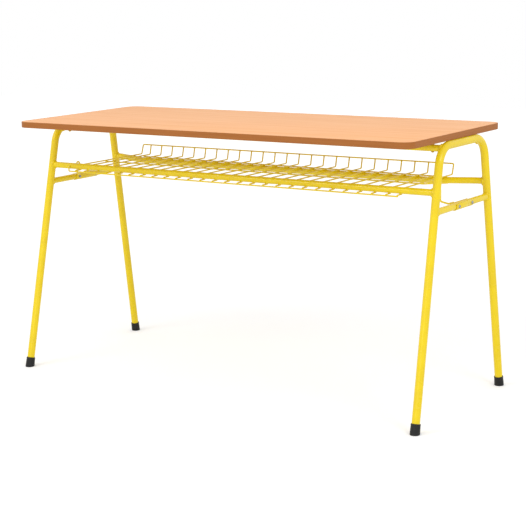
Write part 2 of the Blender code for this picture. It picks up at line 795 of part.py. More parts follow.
def welded_net(name, wire_paths, cross_path):
    """Several wires side by side, joined by one cross wire into one body."""
    net = joined([wire(name, path) for path in wire_paths])
    combine(net, tube("cross_wire", cross_path, WIRE_RADIUS, WIRE_SIDES), "UNION")
    net.name = name
    shade_round(net)


def make_basket():
    """The basket's floor net and back net, its two end wires and its two long wires."""
    halves = [wire_halves(floor_wire_path(x)) for x in inner_wire_places()]
    welded_net("basket_floor", [floor for floor, _back in halves], rear_wire_path())
    welded_net("basket_back", [back for _floor, back in halves], basket_rim_path())
    for side_name, side in (("left", -1), ("right", 1)):
        path = floor_wire_path(side * basket_half_width(), weld_step())
        wire(f"basket_end_wire_{side_name}", wire_halves(path)[0])
    wire("basket_middle_wire", middle_wire_path())
    wire("basket_front_wire", front_wire_path())


def make_foot_cap(name, foot, axis):
    """A plastic cap round a leg's end, cut flat where it stands on the floor."""
    top_radius = LEG_RADIUS + SEAT_GAP + CAP_TOP_WALL
    foot_radius = LEG_RADIUS + SEAT_GAP + CAP_FOOT_WALL
    length = CAP_HEIGHT / axis.z
    bm = bmesh.new()
    bmesh.ops.create_cone(
        bm,
        cap_ends=True,
        segments=TURNED_STEPS,
        radius1=foot_radius,
        radius2=top_radius,
        depth=length,
        matrix=aligned(foot + axis * length / 2, axis),
    )
    lower = sorted(bm.verts, key=lambda vert: (vert.co - foot).dot(axis))[:TURNED_STEPS]
    for vert in lower:
        vert.co -= axis * (vert.co.z / axis.z)
    rims = [edge for edge in bm.edges if any(len(face.verts) > 4 for face in edge.link_faces)]
    soften(bm, rims, CAP_EDGE_RADIUS)
    return object_from_bmesh(name, bm, cap_material())


def make_foot_caps(side_name, side):
    """The two caps of one side frame."""
    legs = (("front", FRONT_FOOT, FRONT_LEG_AXIS), ("back", BACK_FOOT, BACK_LEG_AXIS))
    for row_name, foot, axis in legs:
        name = f"foot_cap_{side_name}_{row_name}"
        cap = make_foot_cap(name, on_side(side, foot), on_side(side, axis))
        cut(cap, side_frame_cutter(side))
        shade_round(cap)


def make_top_screws():
    """Screws from below through the upper rails into the board, each in a sleeve."""
    tip_z = CORE_UNDERSIDE + SCREW_BITE
    seat = upper_rail_height() - RAIL_RADIUS - SEAT_GAP
    head = [
        (SCREW_HEAD_RADIUS * across, seat - SCREW_HEAD_HEIGHT * down)
        for across, down in SCREW_HEAD_SHARES
    ]
    profile = [(0, tip_z), (SCREW_RADIUS, tip_z - SCREW_TIP_LENGTH), (SCREW_RADIUS, seat), *head]
    for side_name, row_name, x, y in top_screw_places():
        base = Vector((x, y, 0))
        turned(f"top_screw_{side_name}_{row_name}", profile, base, Vector((0, 0, 1)), zinc_material())
        make_spacer(f"spacer_{side_name}_{row_name}", base)


def make_spacer(name, base):
    """A sleeve round a screw, from the upper rail to the board."""
    bottom = upper_rail_height() + RAIL_RADIUS + SEAT_GAP
    top = TOP_UNDERSIDE - SEAT_GAP
    hole = SCREW_RADIUS + SEAT_GAP
    outside = hole + SPACER_WALL
    profile = [(hole, top), (outside, top), (outside, bottom), (hole, bottom), (hole, top)]
    turned(name, profile, base, Vector((0, 0, 1)), zinc_material())


def main():
    """Build the desk."""
    reset_scene()
    make_top()
    for side_name, side in (("left", -1), ("right", 1)):
        make_side_frame(side_name, side)
        make_crossbar(side_name, side)
        make_clamp(side_name, side)
        make_bolts(side_name, side)
        tube(f"bag_hook_{side_name}", hook_path(side), HOOK_RADIUS, HOOK_SIDES, paint_material())
        make_foot_caps(side_name, side)
    make_lower_rails()
    make_upper_rails()
    make_top_screws()
    make_basket()


main()
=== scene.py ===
"""School desk for two: smooth pieces with real finishes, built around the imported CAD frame.

Metres, +Z up. X runs along the desk's front edge and +Y points to its back. Every piece is
modelled with Blender's own tools, and takes its place from the same sizes as the CAD.
"""
import json
import logging
import math
from collections.abc import Iterator
from dataclasses import dataclass
from enum import Enum
from itertools import product

import bpy
from mathutils import Matrix, Vector

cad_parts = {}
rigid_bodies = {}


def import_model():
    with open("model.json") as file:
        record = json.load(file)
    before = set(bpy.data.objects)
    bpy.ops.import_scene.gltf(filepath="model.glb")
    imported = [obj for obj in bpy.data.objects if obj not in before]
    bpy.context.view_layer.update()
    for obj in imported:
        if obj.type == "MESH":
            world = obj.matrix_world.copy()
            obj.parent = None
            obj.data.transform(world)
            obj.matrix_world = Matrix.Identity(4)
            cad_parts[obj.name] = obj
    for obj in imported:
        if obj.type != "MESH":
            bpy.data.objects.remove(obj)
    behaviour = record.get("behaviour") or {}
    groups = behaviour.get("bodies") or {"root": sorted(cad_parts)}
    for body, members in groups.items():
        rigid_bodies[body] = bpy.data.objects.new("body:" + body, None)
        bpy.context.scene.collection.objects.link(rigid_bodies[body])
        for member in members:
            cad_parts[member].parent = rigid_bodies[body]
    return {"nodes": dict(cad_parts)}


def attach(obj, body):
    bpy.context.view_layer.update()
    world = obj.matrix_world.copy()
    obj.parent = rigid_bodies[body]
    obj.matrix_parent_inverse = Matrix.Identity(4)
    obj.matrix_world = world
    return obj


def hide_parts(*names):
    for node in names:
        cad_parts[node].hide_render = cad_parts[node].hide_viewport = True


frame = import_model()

LOG = logging.getLogger("school_desk")
BODY = "root"
MM = 0.001
TINY = 0.001 * MM  # a shorter step isn't drawn
MERGE = 0.005 * MM  # corners nearer to each other become one
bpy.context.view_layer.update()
UP = Vector((0, 0, 1))

Tree = bpy.types.NodeTree
Socket = bpy.types.NodeSocket
Pair = tuple[float, float]
Triple = tuple[float, float, float]


class Side(Enum):
    """The desk's two ends, as signs of X."""

    LEFT = -1
    RIGHT = 1

    @property
    def word(self) -> str:
        """The side's word in the names of nodes and pieces."""
        return self.name.lower()

    def place(self, point: Vector) -> Vector:
        """A point of the right end, brought to this end."""
        return Vector((self.value * point.x, point.y, point.z))


def across(*right: Vector) -> list[Vector]:
    """Corners that run on from the left end to those of the right end, given from outside in."""
    return [Side.LEFT.place(corner) for corner in right] + list(right[::-1])


class Row(Enum):
    """The front legs and the back legs."""

    FRONT = "front"
    BACK = "back"


# ---- finishes


def linear(code: str) -> tuple[float, float, float, float]:
    """Turn an sRGB hex colour into linear values, by the curve of the sRGB standard.

    Args:
        code: The colour, such as "#B5723F".

    Returns:
        Red, green, blue and alpha, linear.
    """
    channels = [int(code[start:start + 2], 16) / 255 for start in (1, 3, 5)]
    return (*[v / 12.92 if v <= 0.04045 else ((v + 0.055) / 1.055) ** 2.4 for v in channels], 1.0)


def add(tree: Tree, kind: str, inputs: dict | None = None, **settings) -> bpy.types.Node:
    """Add a node with its settings, values and links.

    Args:
        tree: The node tree that the node goes into.
        kind: The node's type.
        inputs: A value or another node's output for each input, by name or number.
        **settings: Properties of the node itself.

    Returns:
        The new node.
    """
    node = tree.nodes.new(kind)
    for key, value in settings.items():
        setattr(node, key, value)
    for key, value in (inputs or {}).items():
        if isinstance(value, bpy.types.NodeSocket):
            tree.links.new(value, node.inputs[key])
        else:
            node.inputs[key].default_value = value
    return node


@dataclass(frozen=True)
class Fade:
    """What shows at the lower edge of a piece, and fades upwards."""

    bottom: float
    top: float
    amount: float

    def factor(self, tree: Tree) -> Socket:
        """Add the whole amount at the bottom's height, and nothing from the top's height up.

        Args:
            tree: The material's node tree.

        Returns:
            How much of it shows.
        """
        place = add(tree, "ShaderNodeTexCoord").outputs["Object"]
        height = add(tree, "ShaderNodeSeparateXYZ", {0: place}).outputs["Z"]
        inputs = {"Value": height, "From Min": self.bottom, "From Max": self.top,
                  "To Min": self.amount, "To Max": 0.0}
        return add(tree, "ShaderNodeMapRange", inputs, interpolation_type="SMOOTHSTEP").outputs[0]


@dataclass(frozen=True)
class Pattern:
    """Noise on object coordinates: the size of its features, and how much of it shows."""

    size_mm: Triple  # length of the features along X, Y and Z
    detail: float = 2.0  # octaves of finer noise
    rough: float = 0.5  # strength of the finer octaves
    window: Pair = (0.35, 0.65)  # the noise where the pattern starts and where it is full
    amount: float = 1.0  # the factor where it is full
    within: Fade | None = None  # where on the piece it shows

    def noise(self, tree: Tree) -> Socket:
        """Add the bare noise.

        Args:
            tree: The material's node tree.

        Returns:
            The noise, from 0 to 1.
        """
        place = add(tree, "ShaderNodeTexCoord").outputs["Object"]
        scale = tuple(1 / (size * MM) for size in self.size_mm)
        mapped = add(tree, "ShaderNodeMapping", {"Vector": place, "Scale": scale}).outputs[0]
        inputs = {"Vector": mapped, "Scale": 1.0, "Detail": self.detail, "Roughness": self.rough}
        return add(tree, "ShaderNodeTexNoise", inputs).outputs["Fac"]

    def factor(self, tree: Tree) -> Socket:
        """Add the noise, and keep what shows of it.

        Args:
            tree: The material's node tree.

        Returns:
            How much of the pattern shows.
        """
        inputs = {"Value": self.noise(tree), "From Min": self.window[0], "From Max": self.window[1],
                  "To Min": 0.0, "To Max": self.amount}
        shown = add(tree, "ShaderNodeMapRange", inputs, interpolation_type="SMOOTHSTEP").outputs[0]
        if self.within:
            inputs = {0: self.within.factor(tree), 1: shown}
            shown = add(tree, "ShaderNodeMath", inputs, operation="MULTIPLY").outputs[0]
        return shown


@dataclass(frozen=True)
class Finish:
    """What one real material gives the eye: a colour, and patterns of other colours over it."""

    name: str
    slot: str
    roughness: float
    colour: str
    layers: tuple[tuple[Pattern | Fade, str], ...]
    grain: Pattern | None = None  # the relief's pattern, where it isn't the first layer's
    relief: Pair | None = None  # depth of the bumps in millimetres, and their strength
    drift: Pair | None = None  # how far the roughness strays with the first layer, down and up
    ior: float = 1.5
    specular: float = 0.5
    metallic: float = 0.0

    def material(self) -> bpy.types.Material:
        """Make the finish's node material at its first use.

        Returns:
            The material.
        """
        made = bpy.data.materials.get(self.name)
        if made is None:
            made = bpy.data.materials.new(self.name)
            made.use_nodes = True
            self.paint(made.node_tree)
        return made

    def paint(self, tree: Tree) -> None:
        """Set the shader's constants, and link its colour, relief and gloss.

        Args:
            tree: The material's node tree.
        """
        shader = tree.nodes["Principled BSDF"]
        for key, value in (("IOR", self.ior), ("Specular IOR Level", self.specular),
                           ("Metallic", self.metallic), ("Roughness", self.roughness)):
            shader.inputs[key].default_value = value
        factors = [layer.factor(tree) for layer, _code in self.layers]
        tone = linear(self.colour)
        for factor, (_layer, code) in zip(factors, self.layers):
            # a mix node's colours are its inputs 6 and 7 and its output 2
            tone = add(tree, "ShaderNodeMix", {0: factor, 6: tone, 7: linear(code)},
                       data_type="RGBA").outputs[2]
        tree.links.new(tone, shader.inputs["Base Color"])
        if self.relief:
            depth_mm, strength = self.relief
            height = self.grain.noise(tree) if self.grain else factors[0]
            inputs = {"Height": height, "Distance": depth_mm * MM, "Strength": strength}
            bump = add(tree, "ShaderNodeBump", inputs)
            tree.links.new(bump.outputs["Normal"], shader.inputs["Normal"])
        if self.drift:
            down, up = self.drift
            inputs = {"Value": factors[0],
                      "To Min": self.roughness - down, "To Max": self.roughness + up}
            gloss = add(tree, "ShaderNodeMapRange", inputs, interpolation_type="SMOOTHSTEP")
            tree.links.new(gloss.outputs[0], shader.inputs["Roughness"])


# Polyester powder coat, baked on steel: glossy and even, with slightly deeper patches over a
# fine orange peel. The real peel is near 1.5 mm, drawn coarser so that it shows.
YELLOW = Finish("powder_coated_steel", "yellow_paint", 0.26, "#F0D300",
                ((Pattern((45.0,) * 3), "#EBCD00"),),
                Pattern((2.2,) * 3, 1.0), relief=(0.05, 0.35), drift=(0.03, 0.03))

# High-pressure laminate with a printed beech pattern: satin, with broad bands, fine pores and
# short flecks, all drawn out along X. Real pores are finer, and wouldn't show.
BEECH = Finish("beech_decor_laminate", "beech_laminate", 0.55, "#FCBD86", (
    (Pattern((420.0, 16.0, 50.0), 3.0, window=(0.35, 0.68)), "#F5B176"),
    (Pattern((60.0, 2.6, 50.0), 3.0, 0.65, (0.48, 0.75), 0.45), "#F5B176"),
    (Pattern((9.0, 1.3, 50.0), 1.0, window=(0.62, 0.72), amount=0.32), "#DE9C62"),
), Pattern((1.6, 1.1, 1.6)), relief=(0.03, 0.2), specular=0.25)

# ABS edge band, extruded and scraped flush: brown, with faint streaks round the desk, painted shade
# that darkens it towards its lower edge, and a fine moulded grain.
BAND = Finish("abs_edge_band", "brown_edge_band", 0.45, "#C47D40", (
    (Pattern((160.0, 160.0, 1.6), 3.0, 0.6, (0.4, 0.66)), "#B97237"),
    # painted shade: the band darkens towards its lower edge, as where light falls from above
    (Fade(0.7332, 0.7415, 0.45), "#7E4A22"),
), Pattern((2.0, 2.0, 0.8)), relief=(0.03, 0.25), specular=0.15)

# Chipboard, raw: wood chips pressed flat, which stand out a little.
CORE = Finish("pressed_chipboard", "chipboard", 0.85, "#B79B78",
              ((Pattern((7.0, 2.5, 1.5), 4.0, 0.7, (0.42, 0.62), 0.8), "#8A6B49"),),
              relief=(0.08, 0.3))

# Backing laminate, matt: a pale sheet that the board's chips show through faintly.
BACKING = Finish("backing_sheet", "backing_laminate", 0.6, "#D9C2A3",
                 ((Pattern((7.0, 2.5, 1.5), 4.0, 0.7, (0.42, 0.62), 0.5), "#CDB391"),),
                 relief=(0.08, 0.3))

# Polypropylene, injection moulded: near black, with a fine spark-eroded grain, and faint grey
# scuffs low down, where the cap meets the floor.
BLACK = Finish("moulded_polypropylene", "black_plastic", 0.42, "#171717", (
    (Pattern((6.0, 6.0, 1.2), 3.0, window=(0.5, 0.7), within=Fade(0.0, 0.012, 0.55)), "#292928"),
), Pattern((1.2,) * 3), relief=(0.05, 0.35), specular=0.35)

# Bright zinc plating on turned steel: a cool silver, its tone and polish a little uneven.
ZINC = Finish("bright_zinc_plate", "zinc_plated_steel", 0.22, "#B4B9C0",
              ((Pattern((3.0,) * 3, 3.0), "#82878E"),), drift=(0.0, 0.12), metallic=1.0)

# Yellow chromated zinc: golden, and a little duller than the bright one.
GOLDEN = Finish("yellow_chromated_zinc", "zinc_plated_steel", 0.3, "#DDBE5C",
                ((Pattern((3.0,) * 3, 3.0), "#C9A040"),), drift=(0.0, 0.12), metallic=1.0)


# ---- the bench


def clear_selection() -> None:
    """Leave nothing selected, so that the next tool acts on its own mesh only."""
    for obj in bpy.context.view_layer.objects:
        obj.select_set(False)


def aligned(origin: Vector, direction: Vector) -> Matrix:
    """A placing that puts a piece's own Z axis along a direction, with its origin at a point."""
    return Matrix.Translation(origin) @ direction.to_track_quat("Z", "Y").to_matrix().to_4x4()


@dataclass
class Work:
    """One mesh on the bench, shaped step by step with Blender's modelling tools."""

    obj: bpy.types.Object

    @classmethod
    def taken(cls, name: str) -> "Work":
        """Take the primitive that was just added, and name it.

        Args:
            name: The piece's name.

        Returns:
            The primitive, on the bench.
        """
        obj = bpy.context.active_object
        obj.name = obj.data.name = name
        return cls(obj)

    @classmethod
    def ring(cls, name: str, radius: float, sides: int) -> "Work":
        """Start from an open circle round Z.

        Args:
            name: The piece's name.
            radius: The circle's radius.
            sides: Its corners.

        Returns:
            The circle.
        """
        clear_selection()
        bpy.ops.mesh.primitive_circle_add(vertices=sides, radius=radius, fill_type="NOTHING")
        return cls.taken(name)

    @classmethod
    def lathe(cls, name: str, profile: list[Pair], sides: int) -> "Work":
        """Draw a circle out ring by ring, as on a lathe.

        Args:
            name: The piece's name.
            profile: Radius and height of each ring, from the first to the last.
            sides: Corners of each ring.

        Returns:
            The closed shape round Z.
        """
        work = cls.ring(name, profile[0][0], sides)
        work.edit()
        bpy.ops.transform.translate(value=(0, 0, profile[0][1]))
        for (radius, height), (next_radius, next_height) in zip(profile, profile[1:]):
            work.extrude(Vector((0, 0, next_height - height)))
            share = next_radius / radius
            bpy.ops.transform.resize(value=(share, share, 1), center_override=(0, 0, next_height))
        work.close()
        return work

    @classmethod
    def bar(cls, name: str, corners: list[Vector], radius: float, bends: float | list[float],
            sides: int, steps: int) -> "Work":
        """Draw a round bar along straight runs, and spin it round each bend.

        Args:
            name: The piece's name.
            corners: Where the axes of the runs meet, with both ends.
            radius: The bar's radius.
            bends: Radius of the axis in every bend, or in each one.
            sides: Corners of the bar's section.
            steps: Rings in each bend.

        Returns:
            The bar with closed ends.
        """
        work = cls.ring(name, radius, sides)
        work.place(aligned(corners[0], corners[1] - corners[0]))
        work.edit()
        here = corners[0]
        inner = range(1, len(corners) - 1)
        radii = bends if isinstance(bends, list) else [bends for _ in inner]
        for index, bend in zip(inner, radii):
            corner = corners[index]
            before = (corner - corners[index - 1]).normalized()
            after = (corners[index + 1] - corner).normalized()
            half = (-before).angle(after) / 2
            reach = bend / math.tan(half)
            work.extrude(corner - before * reach - here)
            centre = corner + (after - before).normalized() * (bend / math.sin(half))
            bpy.ops.mesh.spin(steps=steps, angle=2 * half - math.pi, center=centre,
                              axis=before.cross(after).normalized())
            here = corner + after * reach
        work.extrude(corners[-1] - here)
        work.close()
        return work

    @classmethod
    def sheet(cls, name: str, size: Pair, corner: float, bottom: float, steps: int) -> "Work":
        """Start from a flat sheet with round corners.

        Args:
            name: The piece's name.
            size: Its width and depth.
            corner: Radius of its corners.
            bottom: Its height.
            steps: Edges in each corner.

        Returns:
            The sheet, in edit mode with all of it selected.
        """
        clear_selection()
        bpy.ops.mesh.primitive_plane_add(size=1, location=(0, 0, bottom))
        work = cls.taken(name)
        work.edit()
        bpy.ops.transform.resize(value=(*size, 1), center_override=(0, 0, bottom))
        bpy.ops.mesh.bevel(offset=corner, segments=steps, affect="VERTICES")
        bpy.ops.mesh.select_all(action="SELECT")
        return work

    def pick(self) -> None:
        """Select this mesh alone, and make it the active one."""
        clear_selection()
        self.obj.select_set(True)
        bpy.context.view_layer.objects.active = self.obj

    def edit(self, select: bool = True) -> None:
        """Open the mesh in edit mode.

        Args:
            select: Whether all of it is selected, or only what was.
        """
        self.pick()
        bpy.ops.object.mode_set(mode="EDIT")
        if select:
            bpy.ops.mesh.select_all(action="SELECT")

    def leave(self) -> None:
        """Go back to object mode."""
        bpy.ops.object.mode_set(mode="OBJECT")

    def extrude(self, step: Vector) -> None:
        """Extrude what is selected, unless the step is nothing."""
        if step.length > TINY:
            bpy.ops.mesh.extrude_region_move(TRANSFORM_OT_translate={"value": step})

    def face_out(self) -> None:
        """Point all faces outwards, and leave edit mode."""
        bpy.ops.mesh.select_all(action="SELECT")
        bpy.ops.mesh.normals_make_consistent(inside=False)
        self.leave()

    def close(self) -> None:
        """Merge doubles, close open ends, point the faces outwards and leave edit mode."""
        bpy.ops.mesh.select_all(action="SELECT")
        bpy.ops.mesh.remove_doubles(threshold=MERGE)
        bpy.ops.mesh.fill_holes(sides=0)
        self.face_out()

    def place(self, placing: Matrix) -> "Work":
        """Move the mesh itself to its place, and leave the object at the origin.

        Args:
            placing: The move and turn.

        Returns:
            The piece itself.
        """
        self.pick()
        self.obj.matrix_world = placing @ self.obj.matrix_world
        bpy.ops.object.transform_apply(location=True, rotation=True, scale=True)
        return self

    def modify(self, kind: str, **settings) -> "Work":
        """Add a modifier with its settings, and apply it.

        Args:
            kind: The modifier's type.
            **settings: Its settings, by name.

        Returns:
            The piece itself.
        """
        self.pick()
        modifier = self.obj.modifiers.new(kind.lower(), kind)
        for key, value in settings.items():
            setattr(modifier, key, value)
        bpy.ops.object.modifier_apply(modifier=modifier.name)
        return self

    def soften(self, width: float, segments: int = 2, angle: float = 50.0) -> "Work":
        """Bevel the edges that are sharper than an angle in degrees."""
        return self.modify("BEVEL", width=width, segments=segments, limit_method="ANGLE",
                           angle_limit=math.radians(angle))

    def cut(self, cutter: "Work", keep_cutter: bool = False) -> "Work":
        """Cut another shape out of this one, exactly.

        Args:
            cutter: The shape to cut away.
            keep_cutter: Whether it is needed again.

        Returns:
            The piece itself.
        """
        self.modify("BOOLEAN", operation="DIFFERENCE", solver="EXACT", object=cutter.obj)
        if not keep_cutter:
            cutter.drop()
        return self

    def drop(self) -> None:
        """Throw the mesh away."""
        bpy.data.objects.remove(self.obj, do_unlink=True)

    def copy(self, placing: Matrix) -> "Work":
        """Copy the piece with its own mesh, moved to another place.

        Args:
            placing: The move from this piece to the copy.

        Returns:
            The copy.
        """
        twin = self.obj.copy()
        twin.data = self.obj.data.copy()
        bpy.context.scene.collection.objects.link(twin)
        return Work(twin).place(placing)

    def join(self, others: list["Work"]) -> "Work":
        """Take other meshes into this one.

        Args:
            others: The meshes, which are used up.

        Returns:
            The piece itself.
        """
        self.pick()
        for work in others:
            work.obj.select_set(True)
        bpy.ops.object.join()
        return self

    def done(self, finish: Finish, *nodes: str, smooth: float = 38.0) -> None:
        """Shade and dress the piece, hang it on the frame, and report it.

        Args:
            finish: The real material it is made of.
            *nodes: The CAD nodes that it stands for.
            smooth: Faces that meet at less than this angle, in degrees, are shaded round.
        """
        self.pick()
        bpy.ops.object.shade_smooth_by_angle(angle=math.radians(smooth))
        self.obj.data.materials.clear()
        self.obj.data.materials.append(finish.material())
        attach(self.obj, BODY)
        if nodes:
            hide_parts(*nodes)
        LOG.info("%s: %d faces of %s", self.obj.name, len(self.obj.data.polygons), finish.name)


# ---- sizes that the pieces share


@dataclass(frozen=True)
class Plan:
    """The desk's sizes, as in the CAD, and the places at its right end that follow from them."""

    width: float = 1.300
    depth: float = 0.550
    height: float = 0.750
    top_thickness: float = 0.0172
    seat_gap: float = 0.0003
    leg_radius: float = 0.011
    leg_bend: float = 0.060
    run_inset: float = 0.0022
    leg_splay: float = 0.0116
    front_foot_inset: float = 0.0140
    front_corner_inset: float = 0.1739
    back_foot_inset: float = 0.0148
    back_corner_inset: float = 0.1166
    rail_radius: float = 0.009
    front_rail_height: float = 0.606
    back_rail_height: float = 0.598
    crossbar_height: float = 0.556
    upper_rail_drop: float = 0.0065
    jog_depth: float = 0.049
    jog_flat: float = 0.029
    jog_run: float = 0.117

    @property
    def underside(self) -> float:
        """Height of the top's underside."""
        return self.height - self.top_thickness

    @property
    def run_height(self) -> float:
        """Height of the axis of a side frame's top run."""
        return self.underside - self.seat_gap - self.leg_radius

    def inset(self, row: Row, front: float, back: float) -> float:
        """Y of a place that lies inside the top's front edge or its back edge."""
        return front - self.depth / 2 if row is Row.FRONT else self.depth / 2 - back

    def corner(self, row: Row) -> Vector:
        """Where a leg's axis meets the top run's."""
        y = self.inset(row, self.front_corner_inset, self.back_corner_inset)
        return Vector((self.width / 2 - self.run_inset, y, self.run_height))

    def foot(self, row: Row) -> Vector:
        """Where a leg's axis meets the floor."""
        y = self.inset(row, self.front_foot_inset, self.back_foot_inset)
        return Vector((self.width / 2 - self.run_inset + self.leg_splay, y, 0))

    def leg(self, row: Row, height: float) -> Vector:
        """A point of a leg's axis at a height."""
        return self.foot(row).lerp(self.corner(row), height / self.run_height)

    def leg_axis(self, row: Row) -> Vector:
        """The direction up a leg."""
        return (self.corner(row) - self.foot(row)).normalized()

    def bend_start(self, row: Row) -> float:
        """Find where the top run becomes straight beside a bend.

        Args:
            row: The front bend or the back one.

        Returns:
            Its Y.
        """
        other = Row.BACK if row is Row.FRONT else Row.FRONT
        run = self.corner(other) - self.corner(row)
        half = (-self.leg_axis(row)).angle(run) / 2
        return self.corner(row).y + math.copysign(self.leg_bend / math.tan(half), run.y)

    def upper_rail(self, row: Row) -> Vector:
        """Find where an upper rail's axis meets the axis of a side frame's bend.

        Args:
            row: The front rail or the back one.

        Returns:
            The point at the right end.
        """
        drop = self.leg_bend - self.upper_rail_drop
        reach = math.sqrt(self.leg_bend ** 2 - drop ** 2)
        y = self.bend_start(row) + (-reach if row is Row.FRONT else reach)
        return Vector((self.corner(row).x, y, self.run_height - self.upper_rail_drop))

    def back_rail_corners(self) -> list[Vector]:
        """Lead the back rail's axis from the right leg to the inner end of its jog.

        Returns:
            Its end and both corners.
        """
        end = self.leg(Row.BACK, self.back_rail_height)
        outer = end - Vector((self.jog_flat, 0, 0))
        return [end, outer, outer - Vector((self.jog_run, self.jog_depth, 0))]

    def back_rail_y(self, x: float) -> float:
        """Find the back rail's axis at a place along the desk.

        Args:
            x: The place's X.

        Returns:
            The axis's Y.
        """
        _end, outer, inner = self.back_rail_corners()
        share = (abs(x) - inner.x) / (outer.x - inner.x)
        return inner.y + (outer.y - inner.y) * min(max(share, 0.0), 1.0)


PLAN = Plan()


# ---- the top


@dataclass
class Tabletop:
    """Chipboard with a beech laminate above, a backing sheet below and an edge band round it."""

    core: float = 0.0154
    laminate: float = 0.0006
    band: float = 0.0022
    joint: float = 0.0001
    corner: float = 0.035
    corner_steps: int = 20
    arris: float = 0.0012
    arris_steps: int = 4
    laminate_arris: float = 0.0002

    def build(self) -> None:
        """Make the four layers of the top."""
        low = PLAN.underside
        self.layer("top_surface", PLAN.height - self.laminate, self.laminate, BEECH, "top_laminate")
        self.layer("top_core", low + self.laminate + PLAN.seat_gap, self.core, CORE, "board_core")
        self.layer("top_backing", low, self.laminate, BACKING, "backing_laminate")
        self.edge()

    def outline(self, inset: float) -> tuple[Pair, float]:
        """Size and corner radius of the top, moved in by an inset."""
        return (PLAN.width - 2 * inset, PLAN.depth - 2 * inset), self.corner - inset

    def layer(self, name: str, bottom: float, thickness: float, finish: Finish, node: str) -> None:
        """Make one sheet inside the edge band.

        Args:
            name: The piece's name.
            bottom: Height of its underside.
            thickness: Its thickness.
            finish: What it is made of.
            node: The CAD node that it stands for.
        """
        size, corner = self.outline(self.band + self.joint)
        work = Work.sheet(name, size, corner, bottom, self.corner_steps)
        work.extrude(Vector((0, 0, thickness)))
        work.close()
        work.soften(self.laminate_arris).done(finish, node)

    def edge(self) -> None:
        """The band: a ring drawn up to the top's thickness, its outer arrises rounded."""
        size, corner = self.outline(0)
        work = Work.sheet("top_edge", size, corner, PLAN.underside, self.corner_steps)
        bpy.ops.mesh.inset(thickness=self.band)
        bpy.ops.mesh.delete(type="FACE")
        bpy.ops.mesh.select_all(action="SELECT")
        work.extrude(Vector((0, 0, PLAN.top_thickness)))
        bpy.ops.mesh.normals_make_consistent(inside=False)
        work.leave()
        for vertex in work.obj.data.vertices:
            vertex.select = False
        for edge in work.obj.data.edges:
            ends = [work.obj.data.vertices[index].co for index in edge.vertices]
            level = abs(ends[0].z - ends[1].z) < MM
            edge.select = level and all(self.inset_of(end) < self.band / 2 for end in ends)
        work.edit(select=False)
        bpy.ops.mesh.bevel(offset=self.arris, segments=self.arris_steps, affect="EDGES")
        work.leave()
        work.done(BAND, "edge_band")

    def inset_of(self, point: Vector) -> float:
        """Find how far inside the top's outline a point is.

        Args:
            point: The point, whose height doesn't count.

        Returns:
            The distance.
        """
        over_x = max(abs(point.x) - PLAN.width / 2 + self.corner, 0.0)
        over_y = max(abs(point.y) - PLAN.depth / 2 + self.corner, 0.0)
        return self.corner - math.hypot(over_x, over_y)


# ---- the frame


@dataclass(frozen=True)
class WeldBead:
    """A fillet weld: a ring that follows the seam where a rail meets a round leg."""

    radius: float = 0.0033
    around: int = 44
    sides: int = 10
    ripple: float = 0.13
    ripples: int = 19
    waves: int = 3

    def build(self, seam: Vector, outwards: Vector, leg_axis: Vector, tube_radius: float) -> Work:
        """Lay one bead.

        Args:
            seam: Where the rail's axis meets the leg's axis.
            outwards: The direction from the leg along the rail.
            leg_axis: The leg's own direction there.
            tube_radius: The rail's outer radius.

        Returns:
            The bead.
        """
        clear_selection()
        bpy.ops.mesh.primitive_torus_add(major_segments=self.around, minor_segments=self.sides,
                                         major_radius=tube_radius, minor_radius=self.radius)
        work = Work.taken("weld").place(aligned(seam, outwards))
        for vertex in work.obj.data.vertices:
            flat = vertex.co - seam
            flat -= outwards * flat.dot(outwards)
            spoke = flat.normalized()
            turn = math.atan2(spoke.dot(leg_axis), spoke.dot(outwards.cross(leg_axis)))
            ring = seam + spoke * tube_radius
            swell = 1 + self.ripple * math.sin(self.ripples * turn) * math.cos(self.waves * turn)
            reach = self.reach(ring - seam, outwards, leg_axis)
            vertex.co = ring + (vertex.co - ring) * swell + outwards * reach
        return work

    def reach(self, start: Vector, outwards: Vector, leg_axis: Vector) -> float:
        """Find how far a point beside the rail's axis lies from the leg's surface.

        Args:
            start: The point, seen from where the axes meet.
            outwards: The direction from the leg along the rail.
            leg_axis: The leg's own direction.

        Returns:
            The distance along the rail.
        """
        across = start - leg_axis * start.dot(leg_axis)
        along = outwards - leg_axis * outwards.dot(leg_axis)
        square = along.length_squared
        middle = across.dot(along) / square
        rest = (across.length_squared - PLAN.leg_radius ** 2) / square
        return -middle + math.sqrt(max(middle ** 2 - rest, 0.0))


